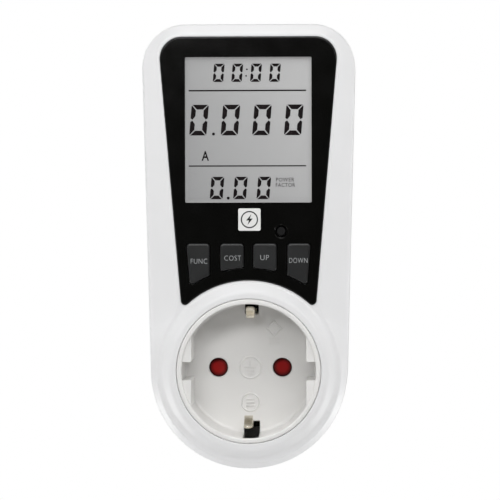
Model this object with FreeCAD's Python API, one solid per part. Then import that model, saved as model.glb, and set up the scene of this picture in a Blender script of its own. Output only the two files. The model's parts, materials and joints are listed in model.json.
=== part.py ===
import FreeCAD, Part
import math
import os

# Plug-in energy meter with an earthed side-contact socket on the front and the matching plug
# on the back. Millimetres. +Z is up, the front faces -Y, and the plug pins point along +Y.
# The origin is the middle of the plug's end face, midway between the two pins. The socket,
# the plug and the round lower end of the case share the Y axis.

V = FreeCAD.Vector

# ---- levels along Y, from the front to the back ----
BOSS_FRONT = -57.0
LIP_STEP = 1.0
LAND_FRONT = -55.0
FASCIA_FRONT = -55.35
FASCIA_THICK = 1.45
SHOULDER = -52.2
CAVITY_FRONT = -51.6
PARTING = -38.0
REAR_FACE = -17.0
PIN_LENGTH = 19.0

# ---- case outline ----
WALL = 2.2
BOTTOM_R = 28.7
CASE_TOP = 100.9
CASE_CORNER_R = 12.5
SIDE_TAPER = math.radians(1.5)
DRAFT = 0.35
REAR_DRAFT = 1.3
REAR_EDGE_R = 3.0
SHOULDER_R = 1.5
LAND_EDGE_R = 0.7
SEAM_BEVEL = 0.25

# ---- raised ring round the socket ----
BOSS_BORE_R = 21.05
BOSS_FLAT_R = 22.4
BOSS_BLEND_R = 1.8
BOSS_SLOPE = math.radians(40)

# ---- fascia ----
FASCIA_TOP = 97.05
FASCIA_CORNER_R = 6.3
FASCIA_HALF_LOW = 19.7
FASCIA_LOW_Z = 20.5
FASCIA_SLOPE = 0.0855
FASCIA_ARC_R = 26.35
FASCIA_TIP_R = 1.2
FASCIA_GAP = 0.08
FASCIA_EDGE_R = 0.4

# ---- display ----
WINDOW_HALF = 18.35
WINDOW_LOW = 48.95
WINDOW_HIGH = 91.15
GLASS_HALF = 20.0
GLASS_LOW = 47.05
GLASS_HIGH = 93.05
GLASS_THICK = 2.2
GLASS_LEDGE = 2.6
LENS_THICK = 1.25
STRIP_SPANS = ((47.3, 49.3), (90.9, 92.8))

# ---- keys ----
KEY_TOP = 37.05
KEY_ARC_R = 30.0
KEY_CORNER_R = 0.9
KEY_PROUD = 0.75
KEY_GAP = 0.22
KEY_TRAVEL = 0.8
KEY_EDGE_R = 0.5
INNER_KEY = (1.35, 8.2)
OUTER_KEY = (11.25, 18.05)
KEY_SWITCH_Z = 32.6
RESET_X = 9.5
RESET_Z = 40.55
RESET_R = 1.35
RESET_GAP = 0.3
RESET_CHAMFER = 0.35
PLUNGER_FRONT = -50.2

# ---- badge ----
BADGE_X = 0.3
BADGE_Z = 44.0
BADGE_SIZE = 6.5

# ---- socket ----
LIP_OUTER_R = 20.95
RECESS_R = 19.5
RECESS_DEPTH = 17.5
FLOOR_THICK = 2.0
BLOCK_X = 16.7
NOTCH_HALF = 2.65
PIN_SPACING = 19.0
PIN_HOLE_R = 2.85
CLIP_SLOT_Z = 15.8
CLIP_SLOT_X = {1: (-1.6, 2.5), -1: (-1.9, 2.8)}
CLIP_WIDTH = 2.5
CLIP_THICK = 0.7
CLIP_EDGE_R = 0.2
CLIP_CORNER_R = 1.0
CLIP_OFFSET = 0.3
CLIP_STEM_Z = 17.0
CLIP_BEND = -40.5
CLIP_BULGE = -47.5
CLIP_TIP = -52.7
UPPER_CLIP = (15.0, 18.1)
LOWER_CLIP = (13.6, 16.4)
BASE_R = 20.4
BASE_REAR = -25.0
CHAMBER_R = 14.2
CHAMBER_REAR = -33.5
POCKET_DEPTH = 0.85

# ---- plug ----
PLUG_R = 18.6
PLUG_FLAT_X = 16.2
PLUG_RIB_HALF = 2.2
PLUG_CHANNEL_HALF = 3.0
PLUG_EARTH_Z = 16.4
PIN_R = 2.4
PIN_SHANK_R = 2.15
PIN_RING_DEPTH = 0.15

# ---- current path ----
TAIL_X = {"live": 11.2, "neutral": -9.5}
BUS_Y = (-22.4, -21.6)
TAIL_BAR_Y = (-16.4, -15.6)

# ---- boards ----
DISPLAY_BOARD_FRONT = -47.6
MAIN_BOARD_FRONT = -24.6
BOARD_THICK = 1.6
SWITCH_HEIGHT = 1.6

# ---- fixings ----
POSTS = ((24.0, 92.0), (-24.0, 92.0), (23.6, 22.0), (-23.6, 22.0))
DISPLAY_POSTS = ((20.9, 41.6), (-20.9, 41.6), (12.0, 96.5), (-12.0, 96.5))
MAIN_POSTS = ((18.5, 34.0), (-18.5, 34.0), (18.5, 82.0), (-18.5, 82.0))
SOCKET_SCREWS = ((18.1, 6.0), (-18.1, -6.0))
CASE_SCREW_SEAT = -27.0
CASE_SCREW_R = 1.3
SELF_TAP_R = 0.92
SMALL_SCREW_R = 0.9
SMALL_HEAD_R = 1.8

# ---- levels and places that follow from the ones above ----
RECESS_FLOOR = BOSS_FRONT + RECESS_DEPTH
FLOOR_REAR = RECESS_FLOOR + FLOOR_THICK
RECESS_LAND = FASCIA_FRONT + FASCIA_THICK
GLASS_FRONT = RECESS_LAND + 0.05
GLASS_REAR = GLASS_FRONT + GLASS_THICK
HOLDER_FRONT = GLASS_REAR + 0.1
DISPLAY_BOARD_REAR = DISPLAY_BOARD_FRONT + BOARD_THICK
MAIN_BOARD_REAR = MAIN_BOARD_FRONT + BOARD_THICK
KEY_FRONT = FASCIA_FRONT - KEY_PROUD
FLANGE_FRONT = CAVITY_FRONT + 0.15
FLANGE_REAR = FLANGE_FRONT + 0.65
SWITCH_FRONT = DISPLAY_BOARD_FRONT - SWITCH_HEIGHT
PIN_X = PIN_SPACING / 2


# ---------------------------------------------------------------- helpers

def box(x0, x1, y0, y1, z0, z1):
    return Part.makeBox(x1 - x0, y1 - y0, z1 - z0, V(x0, y0, z0))


def rod(radius, y0, y1, x=0.0, z=0.0):
    """A cylinder along Y."""
    return Part.makeCylinder(radius, y1 - y0, V(x, y0, z), V(0, 1, 0))


def tube(outer, inner, y0, y1, x=0.0, z=0.0):
    return rod(outer, y0, y1, x, z).cut(rod(inner, y0, y1, x, z))


def join(shapes):
    first, rest = shapes[0], list(shapes[1:])
    return first.fuse(rest).removeSplitter()


def turned(points):
    """Revolve a closed (radius, y) outline about the Y axis. A point may be an arc's (via, end) pair."""
    edges = []
    start = last = points[0]
    for item in list(points[1:]) + [start]:
        if isinstance(item[0], tuple):
            via, end = item
            edges.append(Part.Arc(V(*last, 0), V(*via, 0), V(*end, 0)).toShape())
        else:
            end = item
            edges.append(Part.LineSegment(V(*last, 0), V(*end, 0)).toShape())
        last = end
    return Part.Face(Part.Wire(edges)).revolve(V(0, 0, 0), V(0, 1, 0), 360)


def edges_along_y(shape):
    return [e for e in shape.Edges if e.BoundBox.YLength > 0.01
            and e.BoundBox.XLength < 1e-4 and e.BoundBox.ZLength < 1e-4]


def edges_at_y(shape, level):
    return [e for e in shape.Edges
            if abs(e.BoundBox.YMin - level) < 1e-3 and abs(e.BoundBox.YMax - level) < 1e-3]


def block(x0, x1, y0, y1, z0, z1, corner):
    """A box with its four edges along Y rounded."""
    shape = box(x0, x1, y0, y1, z0, z1)
    return shape.makeFillet(corner, edges_along_y(shape))


def prism(points, y0, y1):
    """Extrude a closed (x, z) polygon along Y."""
    ring = [V(x, y0, z) for x, z in points]
    return Part.Face(Part.makePolygon(ring + ring[:1])).extrude(V(0, y1 - y0, 0))


def strip(points, x0, x1):
    """Extrude a closed (y, z) polygon along X."""
    ring = [V(x0, y, z) for y, z in points]
    return Part.Face(Part.makePolygon(ring + ring[:1])).extrude(V(x1 - x0, 0, 0))


def mirrored_z(shape):
    return shape.mirror(V(0, 0, 0), V(0, 0, 1))


def arc_edge(start, middle, end, y):
    return Part.Arc(*(V(x, y, z) for x, z in (start, middle, end))).toShape()


def line_edge(start, end, y):
    return Part.LineSegment(*(V(x, y, z) for x, z in (start, end))).toShape()


def polar(radius, angle, centre=(0.0, 0.0)):
    return (centre[0] + radius * math.cos(angle), centre[1] + radius * math.sin(angle))


def both_halves(half, y):
    """A closed wire from a right half: a list of points, or (middle, end) pairs for arcs."""
    wires = []
    for side in (1, -1):
        edges, last = [], None
        for item in half:
            arc = isinstance(item[0], tuple)
            end = item[1] if arc else item
            end = (side * end[0], end[1])
            if last is not None and arc:
                edges.append(arc_edge(last, (side * item[0][0], item[0][1]), end, y))
            elif last is not None:
                edges.append(line_edge(last, end, y))
            last = end
        wires.append(edges)
    return Part.Wire(wires[0] + wires[1][::-1])


# ---------------------------------------------------------------- outlines

def corner_points(half_width, top, radius, slope):
    """Start, (middle, end) of the arc that joins a level top to a side leaning by slope."""
    centre_z = top - radius
    centre = (half_width(centre_z) - radius / math.cos(slope), centre_z)
    start = (centre[0], top)
    middle = polar(radius, math.pi / 4 - slope / 2, centre)
    end = polar(radius, -slope, centre)
    return start, (middle, end)


def case_outline(inset, y):
    """Round at the bottom, sides leaning out to rounded top corners."""
    radius = BOTTOM_R - inset
    tangent = polar(radius, -SIDE_TAPER)

    def half_width(z):
        return tangent[0] + (z - tangent[1]) * math.tan(SIDE_TAPER)

    top = CASE_TOP - inset
    start, corner = corner_points(half_width, top, CASE_CORNER_R - inset, SIDE_TAPER)
    bottom = (polar(radius, -(math.pi / 2 + SIDE_TAPER) / 2), (0.0, -radius))
    half = [(0.0, top), start, corner, (half_width(24.0), 24.0), (half_width(12.0), 12.0),
            tangent, bottom]
    return both_halves(half, y)


def fascia_half(z, margin):
    lean = math.atan(FASCIA_SLOPE)
    return FASCIA_HALF_LOW + margin / math.cos(lean) + (z - FASCIA_LOW_Z) * FASCIA_SLOPE


def land_outline(y):
    """The flat land: a margin round the fascia that flows into a circle round the socket."""
    margin, ring_r, flow_r = 0.9, FASCIA_ARC_R + 0.55, 9.0
    lean = math.atan(FASCIA_SLOPE)

    def half_width(z):
        return fascia_half(z, margin)

    top = FASCIA_TOP + margin
    start, corner = corner_points(half_width, top, FASCIA_CORNER_R + margin, lean)
    out = half_width(0.0) * math.cos(lean) + flow_r
    along = math.sqrt((ring_r + flow_r) ** 2 - out ** 2)
    centre = (out * math.cos(lean) + along * math.sin(lean),
              -out * math.sin(lean) + along * math.cos(lean))
    side_end = polar(flow_r, math.pi - lean, centre)
    ring_angle = math.atan2(centre[1], centre[0])
    ring_start = polar(ring_r, ring_angle)
    flow = (polar(flow_r, (math.pi - lean + math.pi + ring_angle) / 2, centre), ring_start)
    ring = (polar(ring_r, (ring_angle - SIDE_TAPER) / 2), polar(ring_r, -SIDE_TAPER))
    bottom = (polar(ring_r, -(math.pi / 2 + SIDE_TAPER) / 2), (0.0, -ring_r))
    return both_halves([(0.0, top), start, corner, side_end, flow, ring, bottom], y)


def fascia_prism(margin, y0, y1):
    low = 8.0
    points = [(fascia_half(FASCIA_TOP, margin), FASCIA_TOP + margin),
              (fascia_half(low, margin), low)]
    points += [(-x, z) for x, z in points[::-1]]
    shape = prism(points, y0, y1)
    tops = [e for e in edges_along_y(shape) if e.BoundBox.ZMin > low + 1.0]
    shape = shape.makeFillet(FASCIA_CORNER_R + margin, tops)
    shape = shape.cut(rod(FASCIA_ARC_R - margin, y0 - 1, y1 + 1))
    keep = box(-40, 40, y0 - 1, y1 + 1, 12.0, 110.0)
    shape = shape.common(keep)
    tips = [e for e in edges_along_y(shape) if e.BoundBox.ZMin < 30.0]
    return shape.makeFillet(FASCIA_TIP_R + margin, tips)


def key_prism(side, span, grow, y0, y1):
    """A key's outline: square top, lower end cut by an arc about the socket."""
    inner, outer = span
    lean = FASCIA_SLOPE if outer > WINDOW_HALF * 0.8 else 0.0
    low = 20.0
    points = [(side * (inner - grow), KEY_TOP + grow), (side * (outer + grow), KEY_TOP + grow),
              (side * (outer + grow - lean * (KEY_TOP - low)), low), (side * (inner - grow), low)]
    shape = prism(points, y0, y1).cut(rod(KEY_ARC_R - grow, y0 - 1, y1 + 1))
    return shape.makeFillet(KEY_CORNER_R + grow, edges_along_y(shape))


# ---------------------------------------------------------------- case

def boss():
    """The ring that stands proud round the socket, with a soft S-shaped outer wall."""
    run = BOSS_BLEND_R * math.sin(BOSS_SLOPE)
    drop = BOSS_BLEND_R * (1 - math.cos(BOSS_SLOPE))
    height = LAND_FRONT - BOSS_FRONT
    flank = (height - 2 * drop) / math.tan(BOSS_SLOPE)
    half = BOSS_SLOPE / 2
    mid_run = BOSS_BLEND_R * math.sin(half)
    mid_drop = BOSS_BLEND_R * (1 - math.cos(half))
    foot_r = BOSS_FLAT_R + 2 * run + flank
    chamfer = 0.2
    return turned([
        (BOSS_BORE_R, SHOULDER), (BOSS_BORE_R, BOSS_FRONT + chamfer),
        (BOSS_BORE_R + chamfer, BOSS_FRONT), (BOSS_FLAT_R, BOSS_FRONT),
        ((BOSS_FLAT_R + mid_run, BOSS_FRONT + mid_drop), (BOSS_FLAT_R + run, BOSS_FRONT + drop)),
        (BOSS_FLAT_R + run + flank, LAND_FRONT - drop),
        ((foot_r - mid_run, LAND_FRONT - mid_drop), (foot_r, LAND_FRONT)),
        (foot_r, SHOULDER)])


def window_hole(half, low, high, y0, y1, corner):
    return block(-half, half, y0, y1, low, high, corner)


def key_spans():
    """Name, side and span of the four keys, from left to right."""
    return (("function", -1, OUTER_KEY), ("cost", -1, INNER_KEY),
            ("up", 1, INNER_KEY), ("down", 1, OUTER_KEY))


def front_case():
    side = Part.makeLoft([case_outline(-DRAFT, PARTING), case_outline(0, SHOULDER)], True, True)
    bevel = Part.makeLoft([case_outline(0, SHOULDER), land_outline(LAND_FRONT)], True, True)
    shell = side.fuse(bevel).removeSplitter()
    shell = shell.makeFillet(SHOULDER_R, edges_at_y(shell, SHOULDER))
    shell = shell.makeFillet(LAND_EDGE_R, edges_at_y(shell, LAND_FRONT))
    shell = shell.makeChamfer(SEAM_BEVEL, edges_at_y(shell, PARTING))
    cavity = Part.makeLoft([case_outline(WALL - DRAFT, PARTING + 1), case_outline(WALL, CAVITY_FRONT)],
                           True, True)
    shell = shell.cut(cavity)
    rebate_depth = 2.6
    rebate = Part.makeLoft([case_outline(1.0, PARTING + 1), case_outline(1.1, PARTING - rebate_depth)],
                           True, True)
    shell = shell.cut(rebate)
    collar_end = -44.0
    shell = shell.fuse([boss(), tube(BOSS_BORE_R + 1.85, BOSS_BORE_R, SHOULDER, collar_end)])
    posts = [rod(3.0, CAVITY_FRONT - 0.3, PARTING + 0.8, x, z) for x, z in POSTS]
    posts += [rod(1.7, CAVITY_FRONT - 0.3, DISPLAY_BOARD_FRONT, x, z) for x, z in DISPLAY_POSTS]
    shell = shell.fuse(posts).removeSplitter()
    holes = [rod(BOSS_BORE_R, BOSS_FRONT - 1, collar_end + 0.5),
             fascia_prism(FASCIA_GAP, BOSS_FRONT - 1, RECESS_LAND),
             window_hole(GLASS_HALF + 0.15, GLASS_LOW - 0.15, GLASS_HIGH + 0.15, -56, -50, 0.4),
             rod(RESET_R + RESET_GAP, -56, -50, RESET_X, RESET_Z)]
    holes += [key_prism(s, span, KEY_GAP, -56, -50) for _, s, span in key_spans()]
    holes += [rod(CASE_SCREW_R + 0.02, PARTING - 12, PARTING + 2, x, z) for x, z in POSTS]
    holes += [rod(SELF_TAP_R, CAVITY_FRONT, DISPLAY_BOARD_FRONT + 1, x, z)
              for x, z in DISPLAY_POSTS]
    return shell.cut(holes)


def rear_case():
    outer = Part.makeLoft([case_outline(-DRAFT, PARTING), case_outline(REAR_DRAFT, REAR_FACE)],
                          True, True)
    outer = outer.makeFillet(REAR_EDGE_R, edges_at_y(outer, REAR_FACE))
    outer = outer.makeChamfer(SEAM_BEVEL, edges_at_y(outer, PARTING))
    cavity = Part.makeLoft([case_outline(WALL - DRAFT, PARTING - 1),
                            case_outline(WALL + REAR_DRAFT, REAR_FACE - WALL)], True, True)
    shell = outer.cut(cavity)
    tongue_front = PARTING - 2.5
    tongue = Part.makeLoft([case_outline(1.2, tongue_front), case_outline(1.1, PARTING + 1)],
                           True, True)
    tongue = tongue.cut(Part.makeLoft([case_outline(WALL, tongue_front - 1),
                                       case_outline(WALL - DRAFT + 0.05, PARTING + 2)], True, True))
    step = Part.makeLoft([case_outline(-3, PARTING), case_outline(-3, PARTING + 2)], True, True)
    tongue = tongue.cut(step)
    bosses = [rod(4.2, PARTING + 0.9, REAR_FACE - 1, x, z) for x, z in POSTS]
    bosses += [rod(2.3, MAIN_BOARD_REAR, REAR_FACE - 1, x, z) for x, z in MAIN_POSTS]
    shell = shell.fuse([tongue] + bosses).removeSplitter()
    label_depth = 0.3
    holes = [rod(PLUG_R + 0.06, REAR_FACE - 5, REAR_FACE + 1),
             block(-17.2, 17.2, REAR_FACE - label_depth, REAR_FACE + 1, 36.8, 82.2, 2.0)]
    for x, z in POSTS:
        holes += [rod(1.6, PARTING, REAR_FACE, x, z),
                  rod(2.9, CASE_SCREW_SEAT, REAR_FACE + 1, x, z)]
    holes += [rod(SELF_TAP_R, MAIN_BOARD_FRONT, REAR_FACE - 1.2, x, z) for x, z in MAIN_POSTS]
    return shell.cut(holes)


def rating_label():
    return block(-17.0, 17.0, REAR_FACE - 0.3, REAR_FACE - 0.05, 37.0, 82.0, 1.8)


def case_screw(x, z):
    """A screw with a domed cross-recessed head, seated at the bottom of its well."""
    top = CASE_SCREW_SEAT + 1.8
    head = rod(2.6, CASE_SCREW_SEAT, top, x, z)
    head = head.makeFillet(0.7, edges_at_y(head, top))
    for half_x, half_z in ((1.6, 0.3), (0.3, 1.6)):
        head = head.cut(box(x - half_x, x + half_x, top - 0.8, top + 1, z - half_z, z + half_z))
    return join([head, rod(CASE_SCREW_R, PARTING - 10.0, CASE_SCREW_SEAT, x, z)])


# ---------------------------------------------------------------- front trim and display

def fascia_panel():
    panel = fascia_prism(0, FASCIA_FRONT, RECESS_LAND)
    panel = panel.makeFillet(FASCIA_EDGE_R, edges_at_y(panel, FASCIA_FRONT))
    deep = (FASCIA_FRONT - 1, RECESS_LAND + 1)
    holes = [window_hole(WINDOW_HALF, WINDOW_LOW, WINDOW_HIGH, *deep, 0.35),
             rod(RESET_R + RESET_GAP, *deep, RESET_X, RESET_Z)]
    hole_r = RESET_R + RESET_GAP
    holes.append(Part.makeCone(hole_r + RESET_CHAMFER, hole_r, RESET_CHAMFER,
                               V(RESET_X, FASCIA_FRONT, RESET_Z), V(0, 1, 0)))
    holes += [key_prism(s, span, KEY_GAP, *deep) for _, s, span in key_spans()]
    half = BADGE_SIZE / 2 + 0.05
    holes.append(block(BADGE_X - half, BADGE_X + half, FASCIA_FRONT - 1, FASCIA_FRONT + 0.2,
                       BADGE_Z - half, BADGE_Z + half, 0.55))
    return panel.cut(holes)


def display_lens():
    gap = 0.04
    front = FASCIA_FRONT + 0.1
    lens = window_hole(WINDOW_HALF - gap, WINDOW_LOW + gap, WINDOW_HIGH - gap,
                       front, front + LENS_THICK, 0.33)
    return lens.makeChamfer(0.15, edges_at_y(lens, front))


def badge_plate():
    half = BADGE_SIZE / 2
    front = FASCIA_FRONT - 0.2
    plate = block(BADGE_X - half, BADGE_X + half, front, FASCIA_FRONT + 0.2,
                  BADGE_Z - half, BADGE_Z + half, 0.5)
    return plate.makeFillet(0.1, edges_at_y(plate, front))


def lcd_glass():
    """Front glass, and a shorter rear glass that leaves a contact ledge along the lower edge."""
    middle = GLASS_FRONT + GLASS_THICK / 2
    return join([box(-GLASS_HALF, GLASS_HALF, GLASS_FRONT, middle, GLASS_LOW, GLASS_HIGH),
                 box(-GLASS_HALF, GLASS_HALF, middle, GLASS_REAR,
                     GLASS_LOW + GLASS_LEDGE, GLASS_HIGH - GLASS_LEDGE)])


def lcd_reflector():
    return box(-18.8, 18.8, GLASS_REAR, GLASS_REAR + 0.25, 50.4, 89.8)


def lcd_holder():
    """The frame that presses the glass forward and guides the two contact strips."""
    frame = block(-20.8, 20.8, HOLDER_FRONT, DISPLAY_BOARD_FRONT - 0.05, 45.4, 94.7, 1.0)
    frame = frame.cut(block(-19.2, 19.2, HOLDER_FRONT - 1, DISPLAY_BOARD_FRONT + 1, 50.0, 90.2, 1.0))
    for low, high in STRIP_SPANS:
        frame = frame.cut(box(-18.3, 18.3, HOLDER_FRONT - 1, DISPLAY_BOARD_FRONT + 1,
                              low - 0.1, high + 0.1))
    return frame


def contact_strips():
    front = GLASS_FRONT + GLASS_THICK / 2 + 0.02
    return [box(-18.0, 18.0, front, DISPLAY_BOARD_FRONT, low, high) for low, high in STRIP_SPANS]


# ---------------------------------------------------------------- keys and switches

def key_centre(span):
    return (span[0] + span[1]) / 2


def key(side, span):
    cap = key_prism(side, span, 0, KEY_FRONT, FLANGE_FRONT)
    cap = cap.makeFillet(KEY_EDGE_R, edges_at_y(cap, KEY_FRONT))
    flange = key_prism(side, span, 0.6, FLANGE_FRONT, FLANGE_REAR)
    stem = rod(1.3, FLANGE_REAR, PLUNGER_FRONT, side * key_centre(span), KEY_SWITCH_Z)
    return join([cap, flange, stem])


def reset_button():
    front = FASCIA_FRONT + 0.7
    cap = rod(RESET_R, front, FLANGE_FRONT, RESET_X, RESET_Z)
    cap = cap.makeFillet(0.3, edges_at_y(cap, front))
    flange = rod(RESET_R + 0.9, FLANGE_FRONT, FLANGE_REAR, RESET_X, RESET_Z)
    stem = rod(1.1, FLANGE_REAR, PLUNGER_FRONT, RESET_X, RESET_Z)
    return join([cap, flange, stem])


def switch_places():
    places = [(side * key_centre(span), KEY_SWITCH_Z) for _, side, span in key_spans()]
    return places + [(RESET_X, RESET_Z)]


def tactile_switch(x, z):
    half = 2.3
    body = block(x - half, x + half, SWITCH_FRONT, DISPLAY_BOARD_FRONT, z - half, z + half, 0.4)
    body = body.cut(rod(1.35, SWITCH_FRONT - 1, DISPLAY_BOARD_FRONT - 0.1, x, z))
    feet = [box(x + s * half - 0.5, x + s * half + 0.5, DISPLAY_BOARD_FRONT - 0.3,
                DISPLAY_BOARD_FRONT, z - 1.9, z - 1.1) for s in (-1, 1)]
    return join([body] + feet)


def plunger(x, z):
    return rod(1.2, PLUNGER_FRONT, DISPLAY_BOARD_FRONT - 0.1 - KEY_TRAVEL - 0.1, x, z)


# ---------------------------------------------------------------- boards and their parts

def display_board():
    levels = (DISPLAY_BOARD_FRONT, DISPLAY_BOARD_REAR)
    board = block(-22.6, 22.6, *levels, 27.0, 85.0, 1.0)
    board = board.fuse(block(-20.0, 20.0, *levels, 27.0, 98.3, 1.0)).removeSplitter()
    return board.cut([rod(1.0, levels[0] - 1, levels[1] + 1, x, z) for x, z in DISPLAY_POSTS])


def pan_screw(x, z, seat, head_r, shank_r, length, rearward):
    """A pan-head screw whose head rests on the level seat. Its shank runs forward if rearward is 1."""
    height = head_r * 0.6
    if rearward > 0:
        head, shank = rod(head_r, seat, seat + height, x, z), rod(shank_r, seat - length, seat, x, z)
        slot = box(x - head_r, x + head_r, seat + height * 0.5, seat + height + 1, z - 0.2, z + 0.2)
    else:
        head, shank = rod(head_r, seat - height, seat, x, z), rod(shank_r, seat, seat + length, x, z)
        slot = box(x - head_r, x + head_r, seat - height - 1, seat - height * 0.5, z - 0.2, z + 0.2)
    return join([head.cut(slot), shank])


def main_board():
    levels = (MAIN_BOARD_FRONT, MAIN_BOARD_REAR)
    board = block(-22.5, 22.5, *levels, 30.0, 86.0, 1.0)
    return board.cut([rod(1.0, levels[0] - 1, levels[1] + 1, x, z) for x, z in MAIN_POSTS])


def film_capacitor():
    body = block(-14.0, 4.0, MAIN_BOARD_FRONT - 13.0, MAIN_BOARD_FRONT - 0.2, 66.0, 75.0, 0.8)
    legs = [rod(0.4, MAIN_BOARD_FRONT - 0.3, MAIN_BOARD_FRONT, x, 70.5) for x in (-12.5, 2.5)]
    return join([body] + legs)


def electrolytic_capacitor():
    x, z, radius, tall = 12.5, 70.0, 5.0, 12.5
    can = rod(radius, MAIN_BOARD_FRONT - tall, MAIN_BOARD_FRONT, x, z)
    can = can.makeFillet(0.7, edges_at_y(can, MAIN_BOARD_FRONT - tall))
    groove = tube(radius + 1, radius - 0.3, MAIN_BOARD_FRONT - 2.2, MAIN_BOARD_FRONT - 1.5, x, z)
    vent = box(x - radius, x + radius, MAIN_BOARD_FRONT - tall - 1, MAIN_BOARD_FRONT - tall + 0.2,
               z - 0.15, z + 0.15)
    return can.cut([groove, vent])


def varistor():
    level = MAIN_BOARD_FRONT - 7.2
    disc = Part.makeCylinder(5.0, 4.0, V(-14.0, level, 58.0), V(0, 0, 1))
    disc = disc.makeFillet(1.2, [e for e in disc.Edges if e.BoundBox.ZLength < 1e-4])
    legs = [rod(0.35, level + 3.0, MAIN_BOARD_FRONT, x, 60.0) for x in (-16.0, -12.0)]
    return join([disc] + legs)


def fuse_link():
    level = MAIN_BOARD_FRONT - 3.0
    body = Part.makeCylinder(2.1, 14.0, V(-8.0, level, 55.0), V(1, 0, 0))
    caps = [Part.makeCylinder(2.4, 3.0, V(x, level, 55.0), V(1, 0, 0)) for x in (-8.5, 3.5)]
    clips = [box(x, x + 1.2, level, MAIN_BOARD_FRONT, 54.0, 56.0) for x in (-7.6, 4.4)]
    return join([body] + caps + clips)


def metering_chip():
    level = MAIN_BOARD_FRONT
    body = block(-1.0, 9.0, level - 2.0, level - 0.3, 41.0, 47.0, 0.2)
    pitch, count = 1.2, 8
    legs = []
    for number in range(count):
        x = -1.0 + 0.8 + pitch * number
        for low, high in ((40.0, 41.2), (46.8, 48.0)):
            legs.append(box(x - 0.2, x + 0.2, level - 0.9, level, low, high))
    return join([body] + legs)


def crystal():
    x, z = 14.0, 44.0
    can = box(x - 3.0, x + 3.0, MAIN_BOARD_FRONT - 3.4, MAIN_BOARD_FRONT - 0.4, z - 1.9, z + 1.9)
    for end in (-3.0, 3.0):
        can = can.fuse(rod(1.9, MAIN_BOARD_FRONT - 3.4, MAIN_BOARD_FRONT - 0.4, x + end, z))
    brim = can.removeSplitter()
    base = box(x - 4.9, x + 4.9, MAIN_BOARD_FRONT - 0.6, MAIN_BOARD_FRONT, z - 2.3, z + 2.3)
    return join([brim, base])


def backup_battery():
    x, z, radius = -9.0, 43.5, 7.6
    cell = rod(radius, MAIN_BOARD_FRONT - 6.2, MAIN_BOARD_FRONT - 0.6, x, z)
    cell = cell.makeFillet(0.7, edges_at_y(cell, MAIN_BOARD_FRONT - 6.2))
    tabs = [box(x - 1.5, x + 1.5, MAIN_BOARD_FRONT - 6.5, MAIN_BOARD_FRONT - 6.2, z - 1.5, z + 9.0),
            box(x - 1.5, x + 1.5, MAIN_BOARD_FRONT - 6.5, MAIN_BOARD_FRONT, z + 8.6, z + 9.0),
            box(x - 1.5, x + 1.5, MAIN_BOARD_FRONT - 0.6, MAIN_BOARD_FRONT, z - 2.0, z + 2.0)]
    return join([cell] + tabs)


def link_header():
    """Six pins with a moulded block at each end, between the two boards."""
    near, far = DISPLAY_BOARD_REAR, MAIN_BOARD_FRONT
    middle, pitch, half_pin, moulding = 12.0, 2.54, 0.32, 2.5
    blocks = [box(middle - 3 * pitch, middle + 3 * pitch, y0, y0 + moulding, 77.6, 80.2)
              for y0 in (near, far - moulding)]
    places = [middle + pitch * (n - 2.5) for n in range(6)]
    pins = [box(x - half_pin, x + half_pin, near, far, 78.6, 79.24) for x in places]
    return join(blocks + pins)


# ---------------------------------------------------------------- socket

def clip_slots():
    """The two slots that the earth clips stand in, through the recess wall and floor."""
    return [box(*CLIP_SLOT_X[side], BOSS_FRONT + 1.3, FLOOR_REAR + 5,
                *sorted((side * CLIP_SLOT_Z, side * (LIP_OUTER_R + 0.2)))) for side in (1, -1)]


def socket_insert():
    lip_r = 0.45
    bend = lip_r * (1 - math.sqrt(0.5))
    foot_r = 1.0
    foot = foot_r * (1 - math.sqrt(0.5))
    flange_y = (-43.9, -42.0)
    cup = turned([
        (0.0, FLOOR_REAR), (0.0, RECESS_FLOOR), (RECESS_R - foot_r, RECESS_FLOOR),
        ((RECESS_R - foot, RECESS_FLOOR - foot), (RECESS_R, RECESS_FLOOR - foot_r)),
        (RECESS_R, BOSS_FRONT + lip_r),
        ((RECESS_R + bend, BOSS_FRONT + bend), (RECESS_R + lip_r, BOSS_FRONT)),
        (LIP_OUTER_R - lip_r, BOSS_FRONT),
        ((LIP_OUTER_R - bend, BOSS_FRONT + bend), (LIP_OUTER_R, BOSS_FRONT + lip_r)),
        (LIP_OUTER_R, flange_y[0]), (LIP_OUTER_R + 1.9, flange_y[0]),
        (LIP_OUTER_R + 1.9, flange_y[1]), (LIP_OUTER_R, flange_y[1]), (LIP_OUTER_R, FLOOR_REAR)])
    for side in (1, -1):
        cheek = box(*sorted((side * BLOCK_X, side * 25)), BOSS_FRONT + LIP_STEP, RECESS_FLOOR + 0.5,
                    -12, 12)
        cheek = cheek.cut(box(*sorted((side * 16, side * 26)), -60, RECESS_FLOOR,
                              -NOTCH_HALF, NOTCH_HALF))
        notch = [e for e in edges_along_y(cheek) if abs(e.BoundBox.Center.z) < NOTCH_HALF + 0.1]
        inner = [e for e in edges_at_y(cheek, BOSS_FRONT + LIP_STEP) if e.BoundBox.XLength < 1e-4
                 and abs(e.BoundBox.Center.x) < BLOCK_X + 0.1]
        cheek = cheek.makeFillet(0.35, notch + inner)
        cup = cup.fuse(cheek.common(rod(RECESS_R + 0.7, -60, -30)))
    cup = cup.fuse(rod(1.5, FLOOR_REAR - 0.5, CHAMBER_REAR - 0.1)).removeSplitter()
    holes = clip_slots()
    for x in (-PIN_X, PIN_X):
        holes.append(rod(PIN_HOLE_R, RECESS_FLOOR - 1, FLOOR_REAR + 1, x))
        holes.append(Part.makeCone(PIN_HOLE_R + 0.35, PIN_HOLE_R, 0.3, V(x, RECESS_FLOOR - 0.05, 0),
                                   V(0, 1, 0)))
    holes += [rod(1.12, FLOOR_REAR - 9, FLOOR_REAR + 1, x, z) for x, z in SOCKET_SCREWS]
    return cup.cut(holes)


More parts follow.
